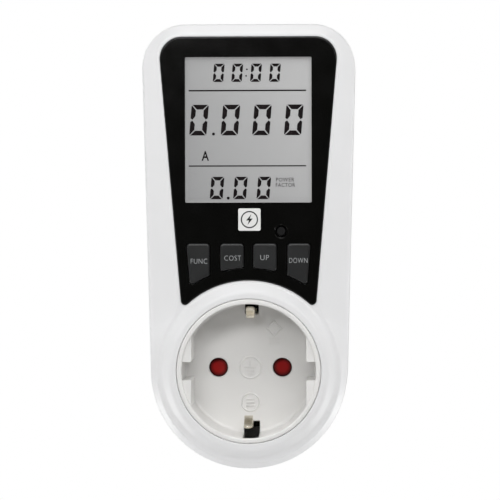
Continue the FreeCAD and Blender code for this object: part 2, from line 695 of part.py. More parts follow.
def wing(side, half_angle, outer_r, y0, y1):
    reach = outer_r * 1.6
    corner = (side * reach, reach * math.tan(half_angle))
    wedge = prism([(0, 0), corner, (corner[0], -corner[1])], y0, y1)
    return wedge.common(rod(outer_r, y0, y1))


def shutter_pocket(x, front):
    """The hollow that a plug pin meets: round, and deepest along its upright midline."""
    pocket_r = PIN_HOLE_R + 0.4
    groove_r = (PIN_HOLE_R ** 2 + POCKET_DEPTH ** 2) / (2 * POCKET_DEPTH)
    groove = Part.makeCylinder(groove_r, 2 * pocket_r, V(x, front + POCKET_DEPTH - groove_r, -pocket_r))
    return groove.common(rod(pocket_r, front - 1, front + POCKET_DEPTH + 1, x))


def safety_shutter():
    """A hub and two wings that close the pin holes. The wings swing aside together."""
    y0, y1 = FLOOR_REAR + 0.2, FLOOR_REAR + 1.6
    half_angle = math.radians(21.5)
    parts = [rod(4.2, y0, y1), rod(2.3, y1, y1 + 1.6)]
    parts += [wing(side, half_angle, 13.2, y0, y1) for side in (1, -1)]
    parts.append(rod(0.6, y1, y1 + 1.6, 0.0, 3.55))
    pockets = [shutter_pocket(x, y0) for x in (-PIN_X, PIN_X)]
    return join(parts).cut(pockets + [rod(1.56, y0 - 1, y1 + 3)])


def shutter_spring():
    """One open turn of wire round the hub, with a leg each way."""
    wire_r, coil_r = 0.22, 2.75
    level = FLOOR_REAR + 2.2
    section = Part.Face(Part.Wire(Part.makeCircle(wire_r, V(coil_r, level, 0), V(0, 0, 1))))
    coil = section.revolve(V(0, 0, 0), V(0, 1, 0), 300)
    legs = [Part.makeCylinder(wire_r, 5.0, V(coil_r, level, 0), V(0, 0, 1))]
    turn = math.radians(300)
    end = V(coil_r * math.cos(turn), level, -coil_r * math.sin(turn))
    along = V(-math.sin(turn), 0, -math.cos(turn))
    legs.append(Part.makeCylinder(wire_r, 4.0, end, along))
    return join([coil] + legs)


def contact_pocket(x):
    return box(x - 4.6, x + 4.6, CHAMBER_REAR - 0.1, -26.6, -4.2, 4.2)


def socket_base():
    base = rod(BASE_R, FLOOR_REAR + 0.05, BASE_REAR)
    holes = [rod(CHAMBER_R, FLOOR_REAR - 1, CHAMBER_REAR)]
    holes += [contact_pocket(x) for x in (-PIN_X, PIN_X)]
    holes += [box(x - 1.7, x + 1.7, -28.0, BASE_REAR + 1, -0.7, 0.7) for x in TAIL_X.values()]
    for side in (1, -1):
        span = sorted((side * 16.2, side * 21.0))
        holes.append(box(-2.4, 3.0, FLOOR_REAR - 1, BASE_REAR + 1, *span))
    holes += [rod(1.25, FLOOR_REAR - 1, BASE_REAR + 1, x, z) for x, z in SOCKET_SCREWS]
    return base.cut(holes)


def pin_contact(x, tail_x):
    """Two leaves that grip a plug pin, on a base plate with a tail through the carrier."""
    thick = 0.7
    rear = -26.7
    plate = box(x - 3.4, x + 3.4, rear - thick, rear, -3.4, 3.4)
    parts = [plate, box(tail_x - 1.5, tail_x + 1.5, rear - thick, BASE_REAR + 2.5, -0.45, 0.45)]
    for side in (1, -1):
        inner, lead, root = 2.45, 3.3, 2.7
        outline = [(rear, side * root), (-31.6, side * inner), (-33.3, side * lead),
                   (-33.3, side * (lead + thick)), (-31.6, side * (inner + thick)),
                   (rear, side * (root + thick))]
        parts.append(strip(outline, x - 2.6, x + 2.6))
    return join(parts)


def earth_clip(shift, bulge_z, tip_z):
    """The upper clip: a strip from its foot, through the floor, to a rounded bulge and a tip."""
    foot_y = -24.3
    drop, rise = CLIP_STEM_Z - bulge_z, tip_z - bulge_z
    inner = [(foot_y, CLIP_STEM_Z), (CLIP_BEND, CLIP_STEM_Z),
             (CLIP_BULGE + 4.0, CLIP_STEM_Z - 0.35 * drop), (CLIP_BULGE + 1.3, bulge_z + 0.1 * drop),
             (CLIP_BULGE, bulge_z), (CLIP_BULGE - 1.3, bulge_z + 0.12 * rise),
             (CLIP_BULGE - 3.2, bulge_z + 0.6 * rise), (CLIP_TIP, tip_z)]
    left = shift - CLIP_WIDTH / 2
    path = [V(left, y, z) for y, z in inner]
    outer = []
    for index, point in enumerate(path):
        run = (path[min(index + 1, len(path) - 1)] - path[max(index - 1, 0)]).normalize()
        outer.append(point + V(0, run.z, -run.y) * CLIP_THICK)
    edges = []
    for line in (path, outer):
        curve = Part.BSplineCurve()
        curve.interpolate(line[1:])
        edges += [Part.LineSegment(line[0], line[1]).toShape(), curve.toShape()]
    edges += [Part.LineSegment(path[-1], outer[-1]).toShape(),
              Part.LineSegment(outer[0], path[0]).toShape()]
    spring = Part.Face(Part.Wire(Part.__sortEdges__(edges))).extrude(V(CLIP_WIDTH, 0, 0))
    along = [e for e in spring.Edges if e.BoundBox.XLength < 1e-3]
    spring = spring.makeFillet(CLIP_CORNER_R, [e for e in along if e.BoundBox.YMax < CLIP_TIP + 0.5])
    bent = [e for e in spring.Edges if e.BoundBox.XLength < 1e-3 and e.BoundBox.YLength > 5.0
            and e.BoundBox.YMax < CLIP_BEND + 0.1]
    spring = spring.makeFillet(CLIP_EDGE_R, bent)
    foot = box(left, left + CLIP_WIDTH, foot_y - 0.3, foot_y + 0.2, 15.6, CLIP_STEM_Z + CLIP_THICK)
    return join([spring, foot])


def earth_strap():
    strap = box(-2.5, 2.5, -23.85, -23.15, -19.0, 19.0)
    return strap.cut([rod(0.8, -25, -22, 0.0, z) for z in (-12.0, 12.0)])


# ---------------------------------------------------------------- plug

def plug_section(y0, y1):
    section = rod(PLUG_R, y0, y1)
    for side in (1, -1):
        flat = box(*sorted((side * PLUG_FLAT_X, side * 25)), y0 - 1, y1 + 1, -20, 20)
        flat = flat.cut(box(*sorted((side * 10, side * 18.1)), y0 - 1, y1 + 1,
                            -PLUG_RIB_HALF, PLUG_RIB_HALF))
        section = section.cut(flat)
        channel = box(-PLUG_CHANNEL_HALF, PLUG_CHANNEL_HALF, y0 - 1, y1 + 1,
                      *sorted((side * (PLUG_EARTH_Z - 0.85), side * 25)))
        section = section.cut(channel)
    return section


def plug_body():
    edge = 1.0
    bend = edge * (1 - math.sqrt(0.5))
    blank = turned([(0.0, REAR_FACE - 1), (0.0, 0.0), (PLUG_R - edge, 0.0),
                    ((PLUG_R - bend, -bend), (PLUG_R, -edge)), (PLUG_R, REAR_FACE - 1)])
    nose = plug_section(REAR_FACE, 0.0).common(blank)
    flange_rear = REAR_FACE - WALL - 0.05
    neck = rod(PLUG_R, flange_rear - 2.0, REAR_FACE)
    flange = rod(23.6, flange_rear - 2.0, flange_rear)
    hollow = rod(13.6, flange_rear - 3.0, -3.2)
    bosses = [rod(4.2, -12.0, -3.0, x) for x in (-PIN_X, PIN_X)]
    body = nose.fuse([neck, flange]).cut(hollow).fuse(bosses).removeSplitter()
    holes = [rod(PIN_SHANK_R + 0.03, -13, 1, x) for x in (-PIN_X, PIN_X)]
    holes += [rod(PIN_R + 0.06, -PIN_RING_DEPTH, 1, x) for x in (-PIN_X, PIN_X)]
    for side in (1, -1):
        z0, z1 = sorted((side * (PLUG_EARTH_Z - 0.85), side * (PLUG_EARTH_Z + 0.05)))
        holes.append(box(-2.45, 2.45, flange_rear - 3, 1, z0, z1))
    return body.cut(holes)


def plug_pin(x):
    tip, shank_front = 1.4, -12.4
    pin = rod(PIN_R, -PIN_RING_DEPTH, PIN_LENGTH, x)
    pin = pin.makeFillet(tip, edges_at_y(pin, PIN_LENGTH))
    return join([pin, rod(PIN_SHANK_R, shank_front, -PIN_RING_DEPTH, x),
                 rod(1.3, TAIL_BAR_Y[1], shank_front, x)])


def plug_earth():
    """The upper side contact, flat along its channel with its outer end turned in."""
    outer, thick = PLUG_EARTH_Z, 0.8
    points = [(-23.1, outer), (-1.9, outer), (-0.9, outer - 0.35), (-0.9, outer - thick),
              (-23.1, outer - thick)]
    return strip(points, -2.4, 2.4)


# ---------------------------------------------------------------- current path

def neutral_busbar():
    left, right = TAIL_X["neutral"] - 2.2, TAIL_X["neutral"] + 2.2
    return join([box(left, right, *TAIL_BAR_Y, -1.6, 4.0),
                 box(left, right, BUS_Y[0], TAIL_BAR_Y[1], 3.2, 4.0),
                 box(left, right, *BUS_Y, -1.6, 4.0)])


def live_bus_in():
    """From the live pin's tail, up past the carrier to the shunt."""
    left, right = 6.4, 9.0
    return join([box(left, 11.2, *TAIL_BAR_Y, -1.6, 4.0),
                 box(left, right, BUS_Y[0], TAIL_BAR_Y[1], 3.2, 4.0),
                 box(left, right, *BUS_Y, 3.2, 38.0)])


def live_bus_out():
    return box(9.8, 12.6, *BUS_Y, -1.6, 38.0)


def shunt():
    """A flat resistance strip, narrowed in the middle, across the two live bars."""
    plate = box(6.4, 12.6, *BUS_Y, 38.0, 43.0)
    return plate.cut([rod(1.0, -24, -20, 9.5, 38.0), rod(0.9, -24, -20, 9.5, 43.0)])


# ---------------------------------------------------------------- output

def save(name, shape):
    solids = []
    for piece in shape if isinstance(shape, list) else [shape]:
        solids += piece.Solids
    bad = [s for s in solids if not s.isValid() or s.Volume <= 0]
    if bad or not solids:
        raise ValueError(f"{name}: {len(bad)} of {len(solids)} solids are not valid")
    whole = solids[0] if len(solids) == 1 else Part.makeCompound(solids)
    whole.exportStep(os.path.join("parts", name + ".step"))


os.makedirs("parts", exist_ok=True)

nodes = {
    "front_case": front_case(),
    "rear_case": rear_case(),
    "rating_label": rating_label(),
    "case_screws": [case_screw(x, z) for x, z in POSTS],
    "fascia_panel": fascia_panel(),
    "display_lens": display_lens(),
    "badge_plate": badge_plate(),
    "lcd_glass": lcd_glass(),
    "lcd_reflector": lcd_reflector(),
    "lcd_holder": lcd_holder(),
    "contact_strips": contact_strips(),
    "reset_button": reset_button(),
    "tactile_switches": [tactile_switch(x, z) for x, z in switch_places()],
    "display_board": display_board(),
    "display_board_screws": [pan_screw(x, z, DISPLAY_BOARD_REAR, SMALL_HEAD_R, SMALL_SCREW_R, 4.8, 1)
                             for x, z in DISPLAY_POSTS],
    "main_board": main_board(),
    "main_board_screws": [pan_screw(x, z, MAIN_BOARD_FRONT, SMALL_HEAD_R, SMALL_SCREW_R, 5.4, -1)
                          for x, z in MAIN_POSTS],
    "film_capacitor": film_capacitor(),
    "electrolytic_capacitor": electrolytic_capacitor(),
    "varistor": varistor(),
    "fuse_link": fuse_link(),
    "metering_chip": metering_chip(),
    "crystal": crystal(),
    "backup_battery": backup_battery(),
    "link_header": link_header(),
    "socket_insert": socket_insert(),
    "safety_shutter": safety_shutter(),
    "shutter_spring": shutter_spring(),
    "socket_base": socket_base(),
    "socket_screws": [pan_screw(x, z, BASE_REAR, 2.0, 1.1, 19.0, 1) for x, z in SOCKET_SCREWS],
    "earth_clip_upper": earth_clip(CLIP_OFFSET, *UPPER_CLIP),
    "earth_clip_lower": mirrored_z(earth_clip(-CLIP_OFFSET, *LOWER_CLIP)),
    "earth_strap": earth_strap(),
    "plug_body": plug_body(),
    "plug_earth_upper": plug_earth(),
    "plug_earth_lower": mirrored_z(plug_earth()),
    "neutral_busbar": neutral_busbar(),
    "live_bus_in": live_bus_in(),
    "live_bus_out": live_bus_out(),
    "shunt": shunt(),
}
for name, x in (("live", PIN_X), ("neutral", -PIN_X)):
    nodes[name + "_contact"] = pin_contact(x, TAIL_X[name])
    nodes[name + "_pin"] = plug_pin(x)
for name, side, span in key_spans():
    nodes["key_" + name] = key(side, span)
for (x, z), name in zip(switch_places(), [n for n, _, _ in key_spans()] + ["reset"]):
    nodes["plunger_" + name] = plunger(x, z)

for name, shape in nodes.items():
    save(name, shape)
print(len(nodes), "nodes")
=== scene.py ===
import json
import math

import bmesh
import bpy
from mathutils import Matrix, Vector


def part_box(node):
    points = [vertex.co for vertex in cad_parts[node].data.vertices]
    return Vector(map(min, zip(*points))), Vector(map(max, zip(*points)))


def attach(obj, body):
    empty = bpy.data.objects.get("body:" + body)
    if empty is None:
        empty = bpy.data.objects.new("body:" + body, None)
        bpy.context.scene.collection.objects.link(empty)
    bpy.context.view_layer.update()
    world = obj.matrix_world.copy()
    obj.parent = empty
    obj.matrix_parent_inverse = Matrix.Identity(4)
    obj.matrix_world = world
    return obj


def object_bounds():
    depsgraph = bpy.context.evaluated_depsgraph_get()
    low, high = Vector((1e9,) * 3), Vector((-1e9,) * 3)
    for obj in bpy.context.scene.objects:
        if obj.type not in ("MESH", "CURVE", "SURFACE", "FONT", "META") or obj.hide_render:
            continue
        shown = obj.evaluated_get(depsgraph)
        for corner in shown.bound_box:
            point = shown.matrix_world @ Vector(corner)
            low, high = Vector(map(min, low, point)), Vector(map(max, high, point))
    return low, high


# The looks of a plug-in power meter. Lengths are in metres, as in the frame, with MM for
# sizes that are easier to read in millimetres. +Z is up and the front faces -Y.

MM = 0.001

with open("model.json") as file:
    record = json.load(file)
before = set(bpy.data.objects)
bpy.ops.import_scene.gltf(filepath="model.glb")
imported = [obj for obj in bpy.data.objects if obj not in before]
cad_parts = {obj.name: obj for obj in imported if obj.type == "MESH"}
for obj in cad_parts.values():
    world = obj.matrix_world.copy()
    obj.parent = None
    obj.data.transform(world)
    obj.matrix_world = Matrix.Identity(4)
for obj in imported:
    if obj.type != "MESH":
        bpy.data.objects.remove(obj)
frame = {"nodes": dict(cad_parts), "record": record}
cad_low, cad_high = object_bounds()
nodes = frame["nodes"]


# ---------------------------------------------------------------- materials

def srgb(red, green, blue):
    """A linear colour from display values of 0 to 255."""
    def linear(value):
        value /= 255
        return value / 12.92 if value <= 0.04045 else ((value + 0.055) / 1.055) ** 2.4
    return (linear(red), linear(green), linear(blue), 1.0)


def new_material(name, **sockets):
    """A material with its Principled node, whose plain sockets are set by name."""
    mat = bpy.data.materials.new(name)
    mat.use_nodes = True
    shader = mat.node_tree.nodes["Principled BSDF"]
    for key, value in sockets.items():
        shader.inputs[key.replace("_", " ")].default_value = value
    mat.diffuse_color = shader.inputs["Base Color"].default_value
    return mat, shader


def add(mat, kind, inputs=None, **settings):
    """A node of a material, with its inputs set to plain values or linked to sockets."""
    node = mat.node_tree.nodes.new(kind)
    for key, value in settings.items():
        setattr(node, key, value)
    for key, value in (inputs or {}).items():
        if isinstance(value, bpy.types.NodeSocket):
            mat.node_tree.links.new(value, node.inputs[key])
        else:
            node.inputs[key].default_value = value
    return node


def millimetres(mat, stretch=(1.0, 1.0, 1.0)):
    """Object coordinates in millimetres, so that a texture's scale is in cycles per millimetre."""
    coords = add(mat, "ShaderNodeTexCoord")
    scale = tuple(1 / MM / s for s in stretch)
    mapping = add(mat, "ShaderNodeMapping", {"Vector": coords.outputs["Object"], "Scale": scale})
    return mapping.outputs[0]


def noise(mat, size, detail=3.0, stretch=(1.0, 1.0, 1.0)):
    """Noise whose blobs are about size millimetres across."""
    return add(mat, "ShaderNodeTexNoise", {
        "Vector": millimetres(mat, stretch), "Scale": 1 / size, "Detail": detail}).outputs["Fac"]


def spread(mat, value, low, high, from_low=0.3, from_high=0.7):
    """The value mapped from the middle of its range to low..high, without overshooting."""
    return add(mat, "ShaderNodeMapRange", {
        "Value": value, "From Min": from_low, "From Max": from_high,
        "To Min": low, "To Max": high}).outputs["Result"]


def blend_colour(mat, factor, first, second):
    """The first colour at factor 0, the second at 1. Any of them may be a socket."""
    mix = add(mat, "ShaderNodeMix", data_type="RGBA")
    for socket, value in ((mix.inputs[0], factor), (mix.inputs[6], first), (mix.inputs[7], second)):
        if isinstance(value, bpy.types.NodeSocket):
            mat.node_tree.links.new(value, socket)
        else:
            socket.default_value = value
    return mix.outputs[2]


def product(mat, first, second):
    """Two values multiplied. Either may be a socket."""
    return add(mat, "ShaderNodeMath", {0: first, 1: second}, operation="MULTIPLY").outputs[0]


def edge_mask(mat, radius):
    """1 along outer and inner edges, 0 on plain faces."""
    soft = add(mat, "ShaderNodeBevel", {"Radius": radius}, samples=4)
    plain = add(mat, "ShaderNodeNewGeometry")
    dot = add(mat, "ShaderNodeVectorMath", {0: soft.outputs[0], 1: plain.outputs["Normal"]},
              operation="DOT_PRODUCT")
    return spread(mat, dot.outputs["Value"], 1.0, 0.0, 0.90, 0.995)


def finish_surface(mat, shader, grain, depth, soften, waves=0.0):
    """Moulding grain and long soft waves as bump, over edges rounded by soften."""
    under = {}
    if soften:
        under["Normal"] = add(mat, "ShaderNodeBevel", {"Radius": soften}, samples=4).outputs[0]
    for height, distance in ((noise(mat, 9.0, 2.0), waves), (noise(mat, grain, 2.0), depth)):
        if distance:
            bump = add(mat, "ShaderNodeBump", {"Height": height, "Distance": distance, **under})
            under["Normal"] = bump.outputs[0]
    mat.node_tree.links.new(under["Normal"], shader.inputs["Normal"])


def plastic(name, colour, second, roughness, grain=0.22, depth=0.0012 * MM, soften=0.12 * MM,
            edge_wear_and_sheen=None, waves=0.0, **sockets):
    """Moulded plastic: a faint drift of colour, uneven gloss, fine grain, and paler edges that are
    partly rubbing wear and partly painted highlight.
    """
    mat, shader = new_material(name, Base_Color=colour, **sockets)
    links = mat.node_tree.links
    slow = spread(mat, noise(mat, 18.0, 2.0), 0.0, 1.0, 0.2, 0.8)
    drift = blend_colour(mat, slow, colour, second)
    # Paler edges: partly rubbing wear, partly a painted highlight along the edges.
    if edge_wear_and_sheen:
        patchy = spread(mat, noise(mat, 0.9, 4.0), 0.15, 1.0)
        rubbed_and_sheen = product(mat, edge_mask(mat, 0.18 * MM), patchy)
        drift = blend_colour(mat, product(mat, rubbed_and_sheen, edge_wear_and_sheen[1]), drift, edge_wear_and_sheen[0])
    links.new(drift, shader.inputs["Base Color"])
    low, high = roughness
    cloudy = spread(mat, noise(mat, 6.0, 3.0), low, high, 0.2, 0.8)
    links.new(cloudy, shader.inputs["Roughness"])
    finish_surface(mat, shader, grain, depth, soften, waves)
    return mat


def metal(name, colour, second, roughness, stretch, soften=0.08 * MM, depth=0.0015 * MM, **sockets):
    """Rolled or turned metal: fine lines across the stretched direction and faint tarnish."""
    mat, shader = new_material(name, Base_Color=colour, Metallic=1.0, **sockets)
    links = mat.node_tree.links
    tarnish = spread(mat, noise(mat, 1.8, 5.0), 0.0, 1.0, 0.42, 0.75)
    links.new(blend_colour(mat, tarnish, colour, second), shader.inputs["Base Color"])
    lines = noise(mat, 0.12, 2.0, stretch)
    links.new(spread(mat, lines, *roughness), shader.inputs["Roughness"])
    soft = add(mat, "ShaderNodeBevel", {"Radius": soften}, samples=4).outputs[0]
    bump = add(mat, "ShaderNodeBump", {"Height": lines, "Distance": depth, "Normal": soft})
    links.new(bump.outputs[0], shader.inputs["Normal"])
    return mat


def lcd_material(window_low, window_high):
    """Grey liquid crystal glass with a paler margin. Painted light and shade make it lighter to the
    upper right, and its glow is painted light.
    """
    mat, shader = new_material("lcd_grey", Base_Color=srgb(170, 171, 171),
                               Emission_Color=srgb(200, 200, 200), Emission_Strength=LCD_PAINTED_GLOW)
    links = mat.node_tree.links
    place = add(mat, "ShaderNodeSeparateXYZ", {"Vector": millimetres(mat)})
    x, z = place.outputs["X"], place.outputs["Z"]
    left, right = window_low.x / MM, window_high.x / MM
    low, high = window_low.z / MM, window_high.z / MM
    # Painted light and shade: the grey gets lighter towards the right and towards the top.
    across = spread(mat, x, 0.0, 0.68, left, right)
    up = spread(mat, z, 0.0, 0.36, low, high)
    share = add(mat, "ShaderNodeMath", {0: across, 1: up}, operation="ADD",
                use_clamp=True).outputs[0]
    grain = spread(mat, noise(mat, 0.35, 2.0), 0.96, 1.03)
    tone_with_painted_light = blend_colour(mat, product(mat, share, grain), LCD_PAINTED_SHADE, LCD_PAINTED_LIGHT)
    margin = 1.0
    edge = None
    for axis, first, last in ((x, left, right), (z, low, high)):
        for inside, outside in ((first + margin, first), (last - margin, last)):
            near = add(mat, "ShaderNodeMapRange", {
                "Value": axis, "From Min": inside, "From Max": outside,
                "To Min": 0.0, "To Max": 1.0}, interpolation_type="SMOOTHSTEP").outputs[0]
            edge = near if edge is None else add(
                mat, "ShaderNodeMath", {0: edge, 1: near}, operation="MAXIMUM").outputs[0]
    tone_with_painted_light = blend_colour(mat, product(mat, edge, 0.35), tone_with_painted_light, LCD_MARGIN)
    links.new(tone_with_painted_light, shader.inputs["Base Color"])
    links.new(spread(mat, noise(mat, 2.0), 0.42, 0.55), shader.inputs["Roughness"])
    bump = add(mat, "ShaderNodeBump", {"Height": noise(mat, 0.15, 2.0), "Distance": 0.0006 * MM})
    links.new(bump.outputs[0], shader.inputs["Normal"])
    return mat


def lens_material():
    """A clear window. Its plain alpha lets the display show, and it keeps a faint gloss."""
    mat, shader = new_material(
        "lens_clear", Base_Color=(0.01, 0.01, 0.01, 1.0), Alpha=0.10, IOR=1.9)
    smears = spread(mat, noise(mat, 6.0, 3.0, (1.0, 1.0, 2.5)), 0.03, 0.12)
    mat.node_tree.links.new(smears, shader.inputs["Roughness"])
    bump = add(mat, "ShaderNodeBump", {"Height": noise(mat, 5.0, 2.0), "Distance": 0.004 * MM})
    mat.node_tree.links.new(bump.outputs[0], shader.inputs["Normal"])
    return mat


def shutter_material():
    """Red plastic, deep in shade except for a round spot behind each hole."""
    mat = plastic("shutter_red", srgb(164, 24, 21), srgb(150, 19, 18), (0.28, 0.40), grain=0.3,
                  depth=0.002 * MM, Specular_IOR_Level=0.25)
    shader = mat.node_tree.nodes["Principled BSDF"]
    red = shader.inputs["Base Color"].links[0].from_socket
    place = add(mat, "ShaderNodeSeparateXYZ", {"Vector": millimetres(mat)})
    across = add(mat, "ShaderNodeMath", {0: place.outputs["X"]}, operation="ABSOLUTE").outputs[0]
    spot = add(mat, "ShaderNodeCombineXYZ", {
        "X": add(mat, "ShaderNodeMath", {0: across, 1: HOLE_OUT}, operation="SUBTRACT").outputs[0],
        "Z": place.outputs["Z"]})
    away = add(mat, "ShaderNodeVectorMath", {0: spot.outputs[0]}, operation="LENGTH")
    shade = spread(mat, away.outputs["Value"], 0.0, 1.0, SPOT_RED, SPOT_DARK)
    dark = blend_colour(mat, shade, red, srgb(44, 6, 6))
    mat.node_tree.links.new(dark, shader.inputs["Base Color"])
    return mat


def board_material():
    """Green solder mask with paler tracks under it."""
    mat, shader = new_material("board_green", Base_Color=srgb(20, 84, 52), Coat_Weight=0.4)
    cells = add(mat, "ShaderNodeTexVoronoi", {"Vector": millimetres(mat), "Scale": 0.35},
                distance="MANHATTAN", feature="DISTANCE_TO_EDGE")
    tracks = spread(mat, cells.outputs["Distance"], 1.0, 0.0, 0.03, 0.07)
    colour = blend_colour(mat, tracks, srgb(18, 74, 46), srgb(46, 122, 74))
    mat.node_tree.links.new(colour, shader.inputs["Base Color"])
    mat.node_tree.links.new(spread(mat, noise(mat, 1.5), 0.28, 0.42), shader.inputs["Roughness"])
    bump = add(mat, "ShaderNodeBump", {"Height": tracks, "Distance": 0.02 * MM})
    mat.node_tree.links.new(bump.outputs[0], shader.inputs["Normal"])
    return mat


# In millimetres: how far each pin hole is from the middle, and the radii at which the shutter's
# red spot behind it starts to darken and is fully dark.
HOLE_OUT = 9.5
SPOT_RED = 1.5
SPOT_DARK = 2.7

# The display's glow is painted light that lifts the shade cast by its window's edges. The two greys
# after it are the display's painted shade, lower left, and painted light, upper right.
LCD_PAINTED_GLOW = 0.42
LCD_PAINTED_SHADE = srgb(116, 117, 118)
LCD_PAINTED_LIGHT = srgb(184, 184, 184)
LCD_MARGIN = srgb(180, 180, 178)
INK = srgb(20, 12, 14)
LEGEND = srgb(188, 190, 191)

window_low, window_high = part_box("display_lens")

surfaces = {
    "case_white": plastic("case_white", srgb(236, 236, 237), srgb(232, 232, 232), (0.34, 0.44),
                          grain=0.30, depth=0.0022 * MM, waves=0.004 * MM, soften=0.15 * MM),
    "socket_white": plastic("socket_white", srgb(237, 236, 234), srgb(234, 233, 231), (0.28, 0.34),
                            grain=0.25, depth=0.0012 * MM),
    # The pale edge colours of the fascia and the keys are partly rubbing wear and partly painted
    # highlight on their edges.
    "fascia_black": plastic("fascia_black", srgb(6, 6, 5), srgb(8, 8, 7), (0.09, 0.16),
                            grain=0.18, depth=0.0006 * MM, waves=0.004 * MM, soften=0.10 * MM,
                            edge_wear_and_sheen=(srgb(46, 45, 43), 0.5), Specular_IOR_Level=0.4),
    "key_grey": plastic("key_grey", srgb(15, 16, 16), srgb(20, 21, 22), (0.30, 0.40),
                        grain=0.16, depth=0.0035 * MM, soften=0.12 * MM,
                        edge_wear_and_sheen=(srgb(88, 89, 90), 0.7)),
    "lens_clear": lens_material(),
    "lcd_grey": lcd_material(window_low, window_high),
    "reflector": plastic("reflector", srgb(206, 208, 208), srgb(196, 198, 198), (0.3, 0.45)),
    "badge_white": plastic("badge_white", srgb(238, 238, 236), srgb(232, 232, 230), (0.30, 0.40),
                           grain=0.2, depth=0.001 * MM, soften=0.05 * MM),
    "label_silver": metal("label_silver", srgb(206, 207, 209), srgb(190, 191, 193), (0.38, 0.52),
                          (1.0, 1.0, 30.0), depth=0.0008 * MM),
    "inner_plastic": plastic("inner_plastic", srgb(60, 60, 62), srgb(72, 72, 74), (0.42, 0.55),
                             edge_wear_and_sheen=(srgb(120, 120, 120), 0.4)),
    "shutter_red": shutter_material(),
    "base_plastic": plastic("base_plastic", srgb(226, 224, 218), srgb(214, 212, 206), (0.45, 0.6)),
    "elastomer": plastic("elastomer", srgb(206, 188, 150), srgb(190, 172, 134), (0.6, 0.75)),
    "board_green": board_material(),
    "capacitor_yellow": plastic("capacitor_yellow", srgb(214, 164, 40), srgb(202, 150, 32),
                                (0.35, 0.5)),
    "capacitor_sleeve": plastic("capacitor_sleeve", srgb(30, 34, 44), srgb(38, 44, 56),
                                (0.25, 0.35)),
    "varistor_blue": plastic("varistor_blue", srgb(38, 74, 132), srgb(30, 62, 116), (0.3, 0.4),
                             grain=0.5, depth=0.01 * MM),
    "chip_black": plastic("chip_black", srgb(28, 28, 29), srgb(36, 36, 37), (0.55, 0.7),
                          grain=0.1, depth=0.004 * MM),
    "steel": metal("steel", srgb(188, 188, 186), srgb(150, 148, 144), (0.28, 0.42),
                   (1.0, 6.0, 1.0)),
    "spring_steel": metal("spring_steel", srgb(176, 176, 178), srgb(132, 130, 128), (0.2, 0.34),
                          (1.0, 6.0, 1.0)),
    "nickel": metal("nickel", srgb(232, 226, 212), srgb(206, 195, 170), (0.16, 0.26),
                    (1.0, 14.0, 1.0), depth=0.0008 * MM),
    "contact_brass": metal("contact_brass", srgb(206, 170, 96), srgb(166, 128, 66), (0.25, 0.4),
                           (1.0, 8.0, 1.0)),
    "copper_alloy": metal("copper_alloy", srgb(196, 132, 98), srgb(150, 92, 64), (0.28, 0.42),
                          (1.0, 1.0, 8.0)),
    "cell_steel": metal("cell_steel", srgb(200, 200, 202), srgb(172, 172, 172), (0.2, 0.35),
                        (6.0, 1.0, 1.0)),
}

for part in frame["record"]["subparts"]:
    nodes[part["node"]].data.materials.clear()
    nodes[part["node"]].data.materials.append(surfaces[part["material_slot"]])

dull_black = plastic("reset_black", srgb(7, 7, 7), srgb(10, 10, 10), (0.42, 0.55), grain=0.16,
                     depth=0.002 * MM, Specular_IOR_Level=0.2)
# The earth strap's steel is painted far darker than the clips' metal: painted shade for the dark
# round the earth clips.
dull_steel_painted_shade = metal("strap_steel_painted_shade", srgb(58, 53, 47), srgb(40, 36, 32), (0.40, 0.55), (1.0, 1.0, 8.0))
for name, surface in (("reset_button", dull_black), ("earth_strap", dull_steel_painted_shade)):
    nodes[name].data.materials[0] = surface

ink = plastic("display_ink", INK, srgb(26, 16, 18), (0.45, 0.6), grain=0.2, depth=0.0004 * MM,
              soften=0.0, Specular_IOR_Level=0.12)
legend_ink = plastic("legend_ink", LEGEND, srgb(160, 162, 163), (0.5, 0.65), grain=0.12,
                     depth=0.001 * MM, soften=0.0)
badge_ink = plastic("badge_ink", srgb(20, 20, 20), srgb(30, 30, 30), (0.3, 0.45), grain=0.15,
                    depth=0.0006 * MM, soften=0.0)
label_ink = plastic("label_ink", srgb(58, 60, 62), srgb(74, 76, 78), (0.45, 0.6), grain=0.2,
                    depth=0.0006 * MM, soften=0.0)


# ---------------------------------------------------------------- mesh helpers

def piece(name, mesh, material, body):
    """A new object in the row frame that rides on a body."""
    mesh.materials.clear()
    mesh.materials.append(material)
    made = bpy.data.objects.new(name, mesh)
    bpy.context.scene.collection.objects.link(made)
    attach(made, body)
    return made


def mesh_from(name, bm):
    """A mesh with its faces turned outwards, from a bmesh that is then freed."""
    bmesh.ops.recalc_face_normals(bm, faces=bm.faces)
    mesh = bpy.data.meshes.new(name)
    bm.to_mesh(mesh)
    bm.free()
    return mesh


def raise_outline(bm, outline, back, front, crown=0.0):
    """A closed raised shape from an (x, z) outline: from level back out to level front.
    With crown, its face is that much smaller all round, so that the sides slope."""
    middle = Vector((sum(p[0] for p in outline), sum(p[1] for p in outline))) / len(outline)
    rings = []
    for level, shrink in ((back, 0.0), (front, crown)):
        ring = []
        for x, z in outline:
            away = Vector((x, z)) - middle
            place = middle + away * max(0.0, 1 - shrink / max(away.length, 1e-9))
            ring.append(bm.verts.new((place.x, level, place.y)))
        rings.append(ring)
    count = len(outline)
    for i in range(count):
        j = (i + 1) % count
        bm.faces.new((rings[0][i], rings[0][j], rings[1][j], rings[1][i]))
    bm.faces.new(rings[1])
    bm.faces.new(rings[0][::-1])


def disc_outline(x, z, radius, steps=28):
    """A circle's points about (x, z)."""
    return [(x + radius * math.cos(2 * math.pi * i / steps),
             z + radius * math.sin(2 * math.pi * i / steps)) for i in range(steps)]


